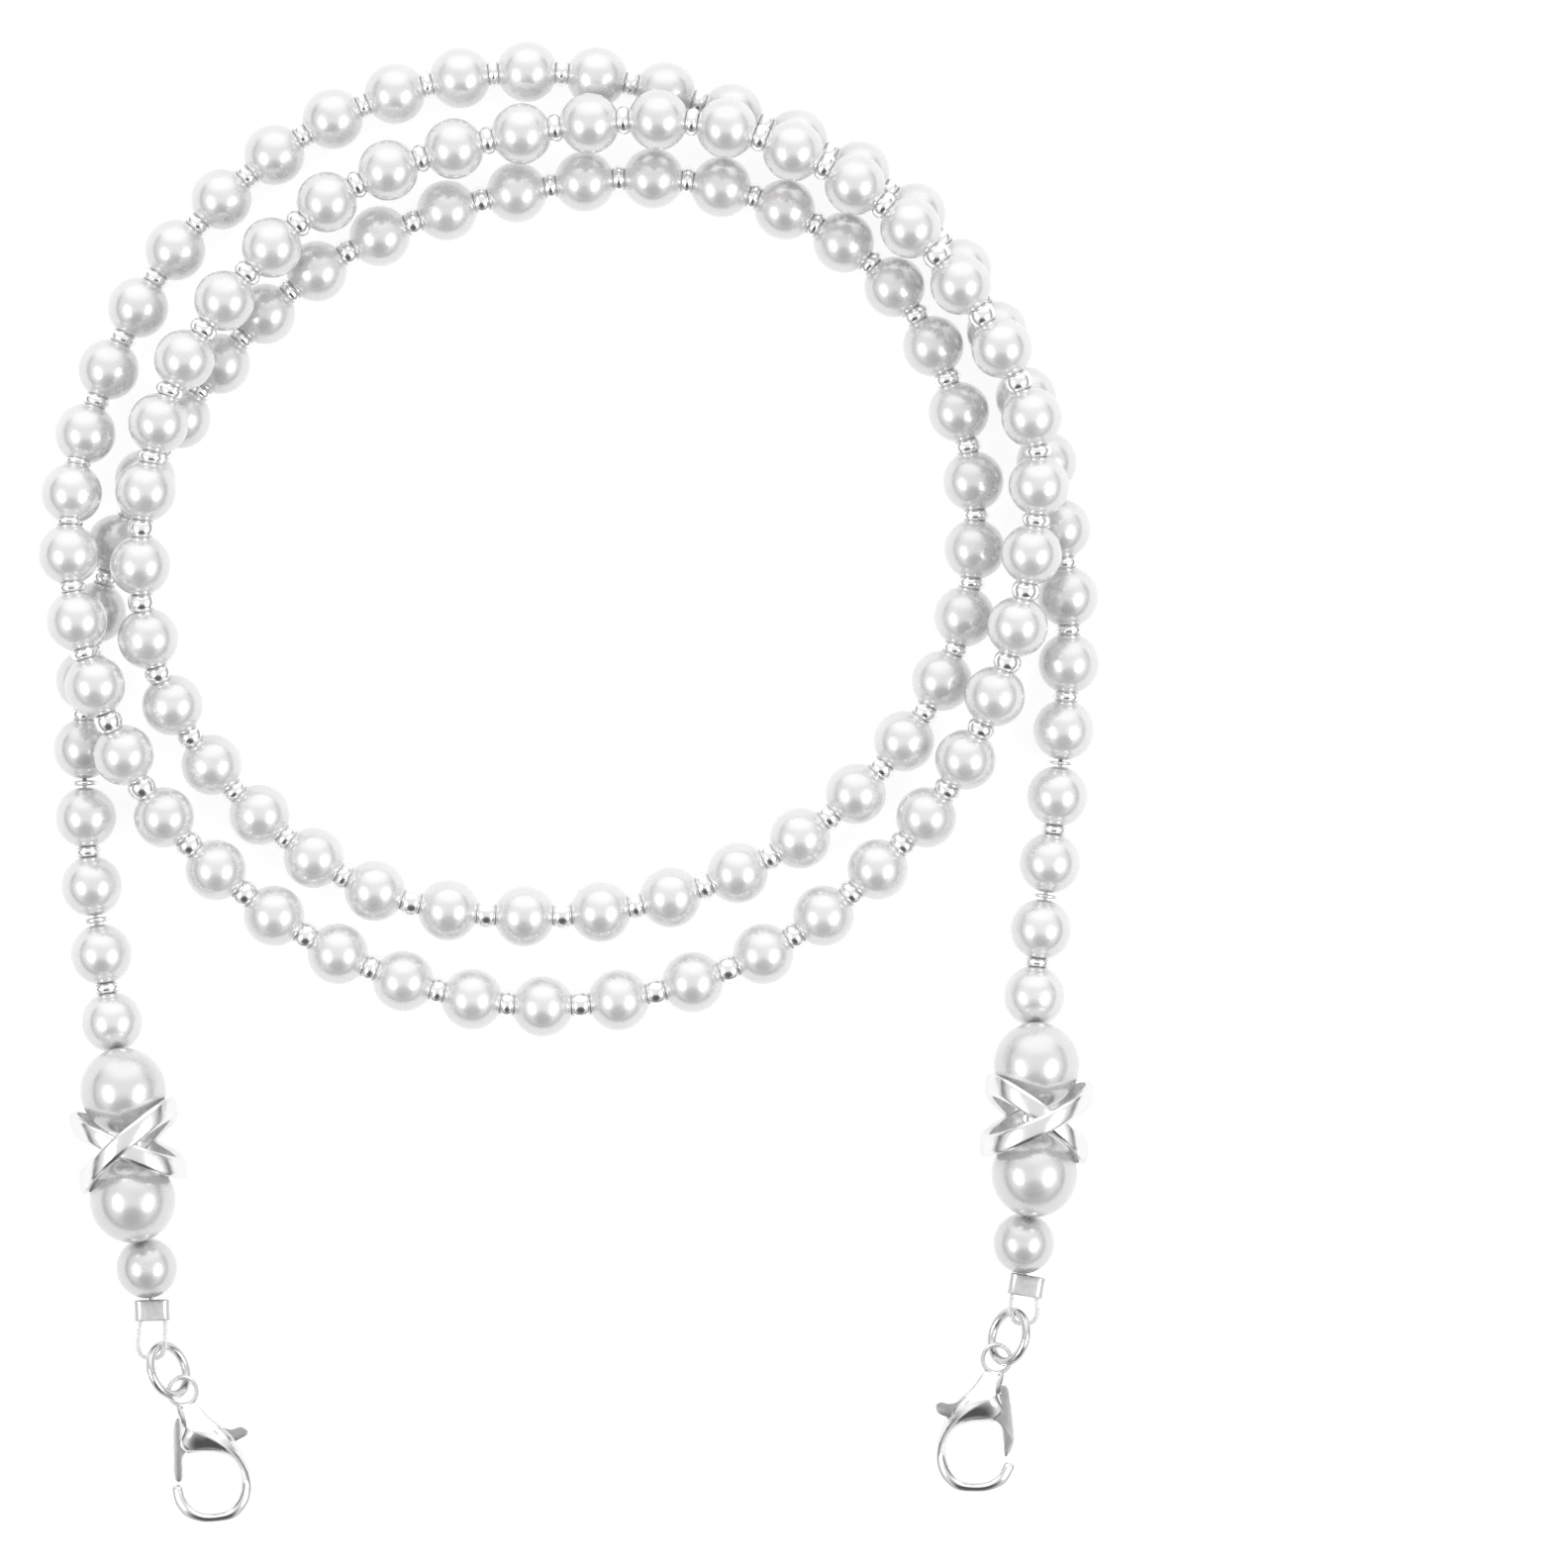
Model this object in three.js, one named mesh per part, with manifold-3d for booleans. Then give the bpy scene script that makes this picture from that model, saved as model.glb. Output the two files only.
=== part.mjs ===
// Eyeglasses chain strap: one beaded strand laid down in two and a half loose loops. Each end
// carries a criss-cross ring between two large pearls, a crimped thread loop, a jump ring and a
// lobster clasp. Millimetres, +Z up, the strap lies on z = 0, the loops lie in the XY plane.
import * as THREE from 'three';
import { mergeVertices } from 'three/addons/utils/BufferGeometryUtils.js';
import Module from 'manifold-3d';

const wasm = await Module();
wasm.setup();

// Driving dimensions
const PEARL_R = 2.9;
const LARGE_R = 4.1;
const BORE_R = 0.55;
const THREAD_R = 0.22;
const SEED = { outer: 1.2, half: 0.25, rimHalf: 0.15 };
const INNER_SEED = { outer: 1.3, half: 0.7, rimHalf: 0.45 };
const LARGE_Z = 5.3;
const HINGE_GAP = 0.15;
const MIDDLE = { x: 0.19, y: -0.175 };
const SECTION_PEARLS = 8;
const TAIL_PEARLS = 4;
const RING = { inner: 4.4, outer: 5.15, half: 4.6, band: 1.75, cross: 31.5, z: 5.3 };
const CRIMP = { length: 2.0, half: 1.7, thick: 1.4, slotHalf: 1.45, slotThick: 0.8, leg: 1.15 };
const JUMP = { major: 2.43, wire: 0.375, tilt: 50, z: 2.24, gapFrom: 95, sweep: 354, hold: 167 };
const CLASP = { thick: 3.0, eyeThick: 0.8, eyeR: 1.6, eyeHole: 1.15, eyeSlack: 0.15, slot: 1.5 };
const LEVER = { low: -0.65, high: 0.2 };
const PIN = { r: 0.4, hole: 0.46, length: 2, x: 3.0, y: -4.1 };
const SPRING = { wire: 0.09, coil: 0.72, low: 0.35, high: 0.6 };

// MIDDLE is where the layout's own middle lies in the frame of the positions below; the finished
// part has it at the origin.
// The strand's route. Each row is a pearl's centre: how many pearls on to the next row, x, y, z.
const ROUTE = [
  [3, -43.5, -23, 2.9], [3, -46, -3.5, 2.9], [3, -45, 16, 2.9], [3, -37, 34.5, 2.9],
  [3, -24, 48.5, 2.9], [3, -5, 56, 2.9], [3, 14.5, 56.5, 2.9], [3, 31, 47, 2.9],
  [3, 38.5, 28.5, 2.9], [3, 35.5, 9.5, 2.9], [3, 22, -5.5, 2.9], [3, 3, -12.5, 2.9],
  [3, -18.5, -10.5, 2.9], [2, -34, 1.5, 3.8], [2, -40, 13.5, 7.4], [2, -40.2, 27.5, 9],
  [3, -36.5, 40, 8.6], [3, -23, 55, 7.2], [3, -4.5, 61.5, 6.8], [3, 15, 62, 9],
  [3, 32.5, 52.5, 9], [2, 44, 34.5, 9], [2, 44, 21.5, 8.6], [2, 40.5, 8, 7.1],
  [3, 34, -3.5, 4.4], [3, 18.5, -16.5, 2.9], [3, -2.5, -21.5, 2.9], [3, -22, -16.5, 2.9],
  [2, -38.5, -3.5, 5.6], [2, -45, 9, 9], [2, -47.5, 21.5, 8], [3, -46, 33, 4.6],
  [3, -37.5, 50.5, 2.9], [3, -22.5, 63, 2.9], [3, -4, 67.5, 2.9], [3, 15.5, 63.5, 2.9],
  [3, 33, 54, 2.9], [3, 43.5, 36.5, 2.9], [3, 47.5, 17.5, 2.9], [3, 46.5, -1.5, 2.9],
  [0, 44.3, -20.5, 2.9],
];

// The two ends. side is -1 for the left end and 1 for the right one; angles are in degrees.
const LEFT = {
  name: 'left', side: -1, crimp: [-39.7, -50.45, 2.55], endPearl: [-40.2, -46.4, 2.9],
  lower: [-41.5, -39.9, LARGE_Z], upper: [-42.4, -29.5, LARGE_Z],
  ring: [-41.9, -34.7, RING.z], ringTurn: 9, ringSpin: -12, crimpTurn: 2, jump: [-38.15, -56.15, JUMP.z],
  jumpTurn: 290, claspTurn: 0,
};
const RIGHT = {
  name: 'right', side: 1, crimp: [43.55, -48.1, 2.55], endPearl: [43.3, -44.05, 2.9],
  lower: [44.3, -37.45, LARGE_Z], upper: [44.5, -27.05, LARGE_Z],
  ring: [44.5, -32.2, RING.z], ringTurn: -5, ringSpin: 17, crimpTurn: -10, jump: [41.9, -52.95, JUMP.z],
  jumpTurn: 255, claspTurn: 5,
};

const STEEL = { color: 0xd8d9dc, roughness: 0.16, metalness: 1 };
const MATERIALS = {
  pearl: new THREE.MeshStandardMaterial({ color: 0xe9e7e6, roughness: 0.25, metalness: 0 }),
  seed: new THREE.MeshStandardMaterial({ color: 0xe4e5e8, roughness: 0.12, metalness: 1 }),
  ring: new THREE.MeshStandardMaterial(STEEL),
  clasp: new THREE.MeshStandardMaterial(STEEL),
  crimp: new THREE.MeshStandardMaterial({ color: 0xbfc0c2, roughness: 0.4, metalness: 1 }),
  thread: new THREE.MeshStandardMaterial({ color: 0xf2f2f2, roughness: 0.2, metalness: 0 }),
};

const radians = THREE.MathUtils.degToRad;
const part = new THREE.Group();

function add(name, geometry, material, position, quaternion) {
  const mesh = new THREE.Mesh(geometry, MATERIALS[material]);
  mesh.name = name;
  mesh.position.set(position.x - MIDDLE.x, position.y - MIDDLE.y, position.z);
  if (quaternion) mesh.quaternion.copy(quaternion);
  part.add(mesh);
  return mesh;
}

// ---- Solids: closed geometry in and out of the boolean library

function solid(geometry) {
  const bare = geometry.clone();
  bare.deleteAttribute('normal');
  bare.deleteAttribute('uv');
  const merged = mergeVertices(bare, 1e-5);
  const vertProperties = new Float32Array(merged.attributes.position.array);
  const triVerts = new Uint32Array(merged.index.array);
  return new wasm.Manifold(new wasm.Mesh({ numProp: 3, vertProperties, triVerts }));
}

function geometryOf(manifold) {
  const mesh = manifold.getMesh();
  const geometry = new THREE.BufferGeometry();
  geometry.setAttribute('position', new THREE.BufferAttribute(mesh.vertProperties, 3));
  geometry.setIndex(new THREE.BufferAttribute(mesh.triVerts, 1));
  return geometry;
}

// ---- The route as one curve, from the left crimp to the right crimp

const vector = (xyz) => new THREE.Vector3(...xyz);
const endPoints = (end) => [end.crimp, end.endPearl, end.lower, end.upper].map(vector);
const controls = [
  ...endPoints(LEFT),
  ...ROUTE.map(([, x, y, z]) => new THREE.Vector3(x, y, z)),
  ...endPoints(RIGHT).reverse(),
];
const STEPS_PER_SPAN = 50;
const curve = new THREE.CatmullRomCurve3(controls, false, 'centripetal');
curve.arcLengthDivisions = STEPS_PER_SPAN * (controls.length - 1);
const lengths = curve.getLengths();
const TOTAL = lengths[lengths.length - 1];
const arcOfControl = (k) => lengths[k * STEPS_PER_SPAN];

// Distance along the route of every small pearl between the two pairs of large pearls
const pearlArcs = [];
ROUTE.forEach(([count], row) => {
  const from = arcOfControl(row + 4);
  if (count === 0) pearlArcs.push(from);
  const step = count ? (arcOfControl(row + 5) - from) / count : 0;
  for (let j = 0; j < count; j += 1) pearlArcs.push(from + j * step);
});

function pointAt(arc) {
  const point = curve.getPointAt(arc / TOTAL);
  const onStrand = arc > pearlArcs[0] && arc < pearlArcs[pearlArcs.length - 1];
  if (onStrand) point.z = Math.max(point.z, PEARL_R);
  return point;
}

const tangentAt = (arc) => curve.getTangentAt(arc / TOTAL);

function alongAxis(tangent) {
  return new THREE.Quaternion().setFromUnitVectors(new THREE.Vector3(0, 1, 0), tangent);
}

class Stretch extends THREE.Curve {
  constructor(from, to, origin) {
    super();
    this.range = [from, to];
    this.origin = origin;
  }

  getPoint(t) {
    return pointAt(THREE.MathUtils.lerp(...this.range, t)).sub(this.origin);
  }
}

function disc(radius, sides) {
  const corners = [];
  for (let i = 0; i < sides; i += 1) {
    const a = (2 * Math.PI * i) / sides;
    corners.push(new THREE.Vector2(radius * Math.cos(a), radius * Math.sin(a)));
  }
  return new THREE.Shape(corners);
}

function tube(path, radius, sides, steps) {
  const options = { steps, bevelEnabled: false, extrudePath: path };
  return new THREE.ExtrudeGeometry(disc(radius, sides), options);
}

// ---- Beads

function boredPearl(radius, arc) {
  const centre = pointAt(arc);
  const reach = radius + 1;
  const ball = solid(new THREE.SphereGeometry(radius, 12, 8));
  const bore = tube(new Stretch(arc - reach, arc + reach, centre), BORE_R, 6, 3);
  return geometryOf(ball.subtract(solid(bore)));
}

function addPearl(name, radius, arc) {
  add(name, boredPearl(radius, arc), 'pearl', pointAt(arc));
}

function addSeed(name, size, arc) {
  const profile = [
    [BORE_R, -size.half], [0.85, -size.half], [size.outer, -size.rimHalf],
    [size.outer, size.rimHalf], [0.85, size.half], [BORE_R, size.half], [BORE_R, -size.half],
  ].map(([r, y]) => new THREE.Vector2(r, y));
  add(name, new THREE.LatheGeometry(profile, 10), 'seed', pointAt(arc), alongAxis(tangentAt(arc)));
}

function addThread(name, from, to, steps) {
  const start = pointAt(from);
  const path = new Stretch(from + HINGE_GAP, to - HINGE_GAP, start);
  add(name, tube(path, THREAD_R, 6, steps), 'thread', start);
}

// ---- Strand sections: pearls, the seed beads between them and the thread as one string of beads

const STATIONS = [[-2.7, 1.1], [-1.25, 2.85], [1.25, 2.85], [2.7, 1.1]];
const SIDES = 7;
const NECK_R = 1.1;

function stringOfBeads(stations, origin) {
  const positions = [];
  const faces = [];
  const up = new THREE.Vector3(0, 0, 1);
  stations.forEach(([arc, radius]) => {
    const centre = pointAt(arc).sub(origin);
    const across = new THREE.Vector3().crossVectors(tangentAt(arc), up).normalize();
    const normal = new THREE.Vector3().crossVectors(across, tangentAt(arc));
    for (let i = 0; i < SIDES; i += 1) {
      const a = (2 * Math.PI * i) / SIDES - Math.PI / 2;
      const rim = centre.clone().addScaledVector(across, radius * Math.cos(a));
      positions.push(...rim.addScaledVector(normal, radius * Math.sin(a)).toArray());
    }
  });
  const last = stations.length - 1;
  for (let ring = 0; ring < last; ring += 1) {
    for (let i = 0; i < SIDES; i += 1) {
      const a = ring * SIDES + i;
      const b = ring * SIDES + ((i + 1) % SIDES);
      faces.push(a, a + SIDES, b, b, a + SIDES, b + SIDES);
    }
  }
  for (let i = 1; i < SIDES - 1; i += 1) {
    faces.push(0, i, i + 1);
    faces.push(last * SIDES, last * SIDES + i + 1, last * SIDES + i);
  }
  const geometry = new THREE.BufferGeometry();
  geometry.setAttribute('position', new THREE.Float32BufferAttribute(positions, 3));
  geometry.setIndex(faces);
  return geometry;
}

function addSection(number, first) {
  const stations = [];
  const last = first + SECTION_PEARLS - 1;
  const middle = (i) => (pearlArcs[i] + pearlArcs[i + 1]) / 2;
  const outermost = pearlArcs.length - TAIL_PEARLS - 1;
  if (first > TAIL_PEARLS) stations.push([middle(first - 1) + HINGE_GAP, NECK_R]);
  for (let i = first; i <= last; i += 1) {
    STATIONS.forEach(([offset, radius]) => stations.push([pearlArcs[i] + offset, radius]));
  }
  if (last < outermost) stations.push([middle(last) - HINGE_GAP, NECK_R]);
  const origin = pointAt(pearlArcs[first]);
  const name = `strand_section_${String(number).padStart(2, '0')}`;
  add(name, stringOfBeads(stations, origin), 'pearl', origin);
}

function addStrand() {
  const outermost = pearlArcs.length - TAIL_PEARLS;
  let number = 1;
  for (let first = TAIL_PEARLS; first < outermost; first += SECTION_PEARLS) {
    addSection(number, first);
    number += 1;
  }
}

// ---- Criss-cross ring: two flat bands of one sleeve, crossing at the front and at the back

function crossRingGeometry() {
  const wall = [
    [RING.inner, -RING.half], [RING.outer, -RING.half], [RING.outer, RING.half],
    [RING.inner, RING.half], [RING.inner, -RING.half],
  ].map(([r, y]) => new THREE.Vector2(r, y));
  const sleeve = solid(new THREE.LatheGeometry(wall, 36));
  const bands = [RING.cross, -RING.cross].map((angle) => {
    const slab = new THREE.BoxGeometry(20, RING.band, 20).rotateZ(radians(angle));
    return sleeve.intersect(solid(slab));
  });
  return geometryOf(bands[0].add(bands[1]));
}

// ---- Crimp tube and the thread loop that it holds

function crimpGeometry() {
  const outline = stadium(CRIMP.half, CRIMP.thick / 2);
  outline.holes.push(stadium(CRIMP.slotHalf, CRIMP.slotThick / 2));
  const options = { depth: CRIMP.length, bevelEnabled: false, curveSegments: 4 };
  const geometry = new THREE.ExtrudeGeometry(outline, options);
  return geometry.translate(0, 0, -CRIMP.length / 2).rotateX(Math.PI / 2);
}

function stadium(half, radius) {
  const shape = new THREE.Shape();
  shape.absarc(half - radius, 0, radius, -Math.PI / 2, Math.PI / 2, false);
  shape.absarc(radius - half, 0, radius, Math.PI / 2, (3 * Math.PI) / 2, false);
  return shape;
}

// In the crimp's own frame x runs outwards, away from the other end, and y to the end pearl
function crimpPoint(end, outward, y) {
  const local = new THREE.Vector3(end.side * outward, y, 0);
  return local.applyAxisAngle(new THREE.Vector3(0, 0, 1), radians(end.crimpTurn));
}

function threadLoopPath(end, hold) {
  const crimp = vector(end.crimp);
  const inward = -end.side;
  const pearl = arcOfControl(end.side < 0 ? 1 : controls.length - 2);
  const edge = -CRIMP.length / 2;
  const bend = (outward, y, z) => hold.clone().sub(crimp)
    .add(new THREE.Vector3(end.side * outward, y, z));
  return new THREE.CatmullRomCurve3([
    pointAt(pearl + inward * 2.7).sub(crimp),
    pointAt(pearl).sub(crimp),
    pointAt(pearl - inward * 2.8).sub(crimp),
    crimpPoint(end, -CRIMP.leg, edge),
    bend(-0.8, 0.9, 0.05),
    bend(-0.78, 0.05, 0.1),
    bend(-0.4, -0.75, -0.05),
    bend(0.5, -1, -0.15),
    bend(1.35, -0.75, -0.2),
    bend(1.75, 0.05, -0.15),
    crimpPoint(end, CRIMP.leg, edge),
    crimpPoint(end, CRIMP.leg - 0.05, -edge * 0.6),
  ], false, 'centripetal');
}

// ---- Jump ring: round wire leaning over, through the thread loop and the clasp's eye

function jumpFrame(end) {
  const turn = radians(end.jumpTurn);
  const tilt = radians(JUMP.tilt);
  const along = new THREE.Vector3(Math.cos(turn), Math.sin(turn), 0);
  const over = new THREE.Vector3(-end.side * along.y, end.side * along.x, 0)
    .multiplyScalar(Math.cos(tilt)).add(new THREE.Vector3(0, 0, Math.sin(tilt)));
  const centre = vector(end.jump);
  const wireAt = (angle) => centre.clone()
    .addScaledVector(along, JUMP.major * Math.cos(angle))
    .addScaledVector(over, JUMP.major * Math.sin(angle));
  const drop = (CLASP.thick / 2 - JUMP.z) / (JUMP.major * Math.sin(tilt));
  const eye = wireAt(Math.asin(drop)).add(new THREE.Vector3(0, -CLASP.eyeSlack, 0));
  return { along, over, centre, hold: wireAt(radians(JUMP.hold)), eye };
}

function jumpRingGeometry() {
  class Round extends THREE.Curve {
    getPoint(t) {
      const a = radians(JUMP.gapFrom + JUMP.sweep * t);
      return new THREE.Vector3(Math.cos(a), Math.sin(a), 0).multiplyScalar(JUMP.major);
    }
  }
  return tube(new Round(), JUMP.wire, 6, 26);
}

// ---- Lobster clasp, in its own frame: the eye's centre at the origin, the hook towards -y

function claspOutline(short) {
  const tipOutside = short ? [] : [[-0.95, -9.4]];
  const tipInside = short ? [[-0.2, -9.85]] : [[0, -9.3], [-0.46, -8.92]];
  const shape = new THREE.Shape();
  shape.setFromPoints(new THREE.SplineCurve(points(...tipOutside, [-0.7, -10.55], [0.2, -11.8],
    [1.65, -12.4], [3.25, -12.42], [5.02, -12], [6.2, -10.65], [6.55, -9.2], [6.28, -7.4],
    [5.6, -5.75], [4.68, -4.25])).getPoints(34));
  shape.splineThru(points([3.85, -3.45], [2.8, -2.65], [1.85, -1.75], [1.5, -0.55]));
  shape.absarc(0, 0, CLASP.eyeR, radians(-20), radians(222), false);
  shape.splineThru(points([-0.55, -1.85], [-0.35, -2.75], [-0.22, -5.2]));
  shape.lineTo(0.55, -5.86);
  shape.lineTo(1.9, -5.8);
  shape.splineThru(points([3.3, -5.85], [4.55, -6.25], [5.35, -7.3], [5.6, -8.7], [5.33, -10.15],
    [4.5, -11.2], [3.2, -11.6], [1.85, -11.55], [0.85, -11], [0.22, -10.1], ...tipInside));
  shape.closePath();
  shape.holes.push(hole(0, 0, CLASP.eyeHole), hole(PIN.x, PIN.y, PIN.hole));
  return shape;
}

const points = (...list) => list.map(([x, y]) => new THREE.Vector2(x, y));

function hole(x, y, radius) {
  const path = new THREE.Path();
  path.absarc(x, y, radius, 0, 2 * Math.PI, true);
  return path;
}

function slab(outline, low, high, curveSegments = 4) {
  const options = { depth: high - low, bevelEnabled: false, curveSegments };
  return new THREE.ExtrudeGeometry(outline, options).translate(0, 0, low);
}

function claspGeometry(short) {
  const middle = CLASP.thick / 2;
  const slotOutline = new THREE.Shape(points([-2, -2.2], [0.2, -2.2], [1.9, -3.1], [3, -1.7],
    [9, -1.2], [9, -5.2], [4.9, -5.45], [4.5, -5.8], [4.4, -6.6], [-2, -6.6]));
  const eyeOutline = new THREE.Shape(points([-3, -1.75], [3, -1.75], [3, 3], [-3, 3]));
  const slot = slab(slotOutline, middle - CLASP.slot / 2, middle + CLASP.slot / 2);
  const above = slab(eyeOutline, middle + CLASP.eyeThick / 2, CLASP.thick + 1);
  const below = slab(eyeOutline, -1, middle - CLASP.eyeThick / 2);
  const body = solid(slab(claspOutline(short), 0, CLASP.thick));
  return geometryOf(body.subtract(solid(slot)).subtract(solid(above)).subtract(solid(below)));
}

function leverGeometry(pointed) {
  const gate = pointed
    ? [[-0.62, -2.55], [-0.98, -4.2], [-1.08, -7.1], [-0.96, -8.2], [0, -9.35], [0.04, -7.6],
      [0.15, -6.4], [0.7, -5.7]]
    : [[-0.52, -2.55], [-0.88, -4.2], [-0.88, -6.4], [-0.84, -7.8], [-0.36, -8.64], [0, -7.6],
      [0, -6.2], [0.45, -5.65]];
  const tab = pointed
    ? [[2.4, -5.35], [4.7, -5.15], [5.5, -4.95], [6.2, -4.15], [5.6, -3.65], [4.2, -3.8],
      [3.4, -3.4]]
    : [[2.4, -5.35], [3.6, -5.25], [5.2, -4.65], [6.25, -3.95], [5.55, -3.4], [4.6, -3.65],
      [3.4, -3.3]];
  const shape = new THREE.Shape(points(...gate, ...tab, [2, -3.45], [0.6, -3.6], [0.05, -2.9]));
  shape.holes.push(hole(PIN.x, PIN.y, PIN.hole));
  const middle = CLASP.thick / 2;
  return slab(shape, middle + LEVER.low, middle + LEVER.high, 3);
}

function pinGeometry() {
  return new THREE.CylinderGeometry(PIN.r, PIN.r, PIN.length, 12).rotateX(Math.PI / 2)
    .translate(PIN.x, PIN.y, CLASP.thick / 2);
}

function springGeometry() {
  const middle = CLASP.thick / 2;
  const coil = [new THREE.Vector3(1.2, -3.6, middle + SPRING.low)];
  for (let i = 0; i <= 10; i += 1) {
    const a = radians(100 - 38 * i);
    const z = middle + THREE.MathUtils.lerp(SPRING.low, SPRING.high, i / 10);
    coil.push(new THREE.Vector3(PIN.x + SPRING.coil * Math.cos(a),
      PIN.y + SPRING.coil * Math.sin(a), z));
  }
  coil.push(new THREE.Vector3(3.75, -3.5, middle + SPRING.high));
  return tube(new THREE.CatmullRomCurve3(coil), SPRING.wire, 4, 28);
}

function addClasp(end, frame) {
  const turn = new THREE.Quaternion().setFromEuler(
    new THREE.Euler(0, 0, radians(end.claspTurn)));
  const flip = new THREE.Quaternion().setFromEuler(new THREE.Euler(0, Math.PI, 0));
  const position = new THREE.Vector3(frame.eye.x, frame.eye.y, end.side < 0 ? 0 : CLASP.thick);
  const rotation = end.side < 0 ? turn : turn.multiply(flip);
  const pieces = {
    clasp_body: claspGeometry(end.side > 0), clasp_lever: leverGeometry(end.side > 0),
    clasp_pin: pinGeometry(),
    clasp_spring: springGeometry(),
  };
  Object.entries(pieces).forEach(([name, geometry]) => {
    add(`${end.name}_${name}`, geometry, 'clasp', position, rotation);
  });
}

// ---- One whole end, from the four single pearls of the tail out to the clasp

function addEnd(end) {
  const left = end.side < 0;
  const name = (piece) => `${end.name}_${piece}`;
  const last = controls.length - 1;
  const lastPearl = pearlArcs.length - 1;
  const control = (k) => arcOfControl(left ? k : last - k);
  const pearl = (i) => pearlArcs[left ? i : lastPearl - i];
  const between = (a, b, share = 0.5) => THREE.MathUtils.lerp(a, b, share);
  const contact = LARGE_R / (LARGE_R + PEARL_R);
  for (let i = 0; i < TAIL_PEARLS; i += 1) {
    addPearl(name(`pearl_${TAIL_PEARLS - i}`), PEARL_R, pearl(i));
    const gap = between(pearl(i), pearl(i + 1));
    addSeed(name(`seed_${TAIL_PEARLS - i}`), SEED, gap);
  }
  addPearl(name('large_pearl_upper'), LARGE_R, control(3));
  addPearl(name('large_pearl_lower'), LARGE_R, control(2));
  addPearl(name('end_pearl'), PEARL_R, control(1));
  addSeed(name('inner_seed'), INNER_SEED, between(control(2), control(3)));
  const pivots = [
    between(pearl(3), pearl(4)), between(pearl(1), pearl(2)),
    between(control(3), pearl(0), contact), between(control(2), control(1), contact),
  ];
  ['upper_thread', 'lower_thread', 'cluster_thread'].forEach((piece, i) => {
    const [from, to] = left ? [pivots[i + 1], pivots[i]] : [pivots[i], pivots[i + 1]];
    addThread(name(piece), from, to, 6);
  });
  const upright = new THREE.Vector3(0, 0, 1);
  const ringTurn = new THREE.Quaternion().setFromEuler(
    new THREE.Euler(0, radians(end.ringSpin), radians(end.ringTurn), 'ZYX'));
  add(name('cross_ring'), crossRingGeometry(), 'ring', vector(end.ring), ringTurn);
  const crimpTurn = new THREE.Quaternion().setFromAxisAngle(upright, radians(end.crimpTurn));
  add(name('crimp_tube'), crimpGeometry(), 'crimp', vector(end.crimp), crimpTurn);
  const frame = jumpFrame(end);
  const loop = tube(threadLoopPath(end, frame.hold), THREAD_R, 6, 44);
  add(name('thread_loop'), loop, 'thread', vector(end.crimp));
  const cross = new THREE.Vector3().crossVectors(frame.along, frame.over);
  const basis = new THREE.Matrix4().makeBasis(frame.along, frame.over, cross);
  const lean = new THREE.Quaternion().setFromRotationMatrix(basis);
  add(name('jump_ring'), jumpRingGeometry(), 'ring', frame.centre, lean);
  addClasp(end, frame);
}

addStrand();
addEnd(LEFT);
addEnd(RIGHT);

export default part;
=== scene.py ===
"""Eyeglasses chain strap: pearl beads, silver seed beads, criss-cross rings, jump rings and clasps.

Lengths in this script are millimetres in the layout's own frame until a mesh is made; MIDDLE and
MM bring them to the row frame in metres.
"""
import math

import bpy
import numpy as np
from mathutils import Matrix, Vector


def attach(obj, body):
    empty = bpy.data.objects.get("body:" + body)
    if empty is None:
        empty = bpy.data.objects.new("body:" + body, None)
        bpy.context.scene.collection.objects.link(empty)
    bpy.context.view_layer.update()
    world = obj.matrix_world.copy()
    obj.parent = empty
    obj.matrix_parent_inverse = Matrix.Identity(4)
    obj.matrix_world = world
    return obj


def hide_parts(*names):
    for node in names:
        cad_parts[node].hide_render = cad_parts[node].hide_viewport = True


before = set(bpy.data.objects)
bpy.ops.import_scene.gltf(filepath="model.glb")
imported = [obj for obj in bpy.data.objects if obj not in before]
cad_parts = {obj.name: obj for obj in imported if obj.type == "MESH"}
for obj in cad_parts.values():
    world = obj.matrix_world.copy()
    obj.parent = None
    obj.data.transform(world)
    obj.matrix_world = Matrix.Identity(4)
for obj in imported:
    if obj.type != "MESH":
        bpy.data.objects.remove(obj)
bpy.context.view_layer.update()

MM = 0.001
MIDDLE = np.array([0.19, -0.175, 0.0])
PEARL_R = 2.9
LARGE_R = 4.1
THREAD_R = 0.22
SECTION_PEARLS = 8
TAIL_PEARLS = 4

# ---------------------------------------------------------------- camera, light and floor

VIEW_WIDTH = 149.43
VIEW_CENTRE = (20.47, -0.33)
CAMERA_HEIGHT = 3.0  # in metres, as is every length of a light
SENSOR = 36.0
# Azimuth and elevation in degrees, distance, width and height, power in watts
SOFTBOXES = {
    "softbox_left": (195, 47, 0.8, (0.56, 0.32), 1.9),
    "softbox_right": (-15, 46, 0.8, (0.58, 0.38), 2.5),
}
HORIZON = 0.2
# Brightness, direction, and the angles in degrees at which a lobe starts and is full
WORLD_LOBES = {
    "overhead": (0.86, (0, 0, 1), 84, 68),
    "far_card": (1.5, (0, 0.9, 0.22), 58, 26),
    "near_flag": (0.10, (0, -0.72, 0.66), 38, 16),
}
FLOOR_SIZE = 6
FLOOR_GREY = 0.2
FLOOR_GLOW = 0.85


def row_frame(point):
    """A layout point in millimetres, as a point in the row frame in metres."""
    return Vector((np.asarray(point, float) - MIDDLE) * MM)


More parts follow.
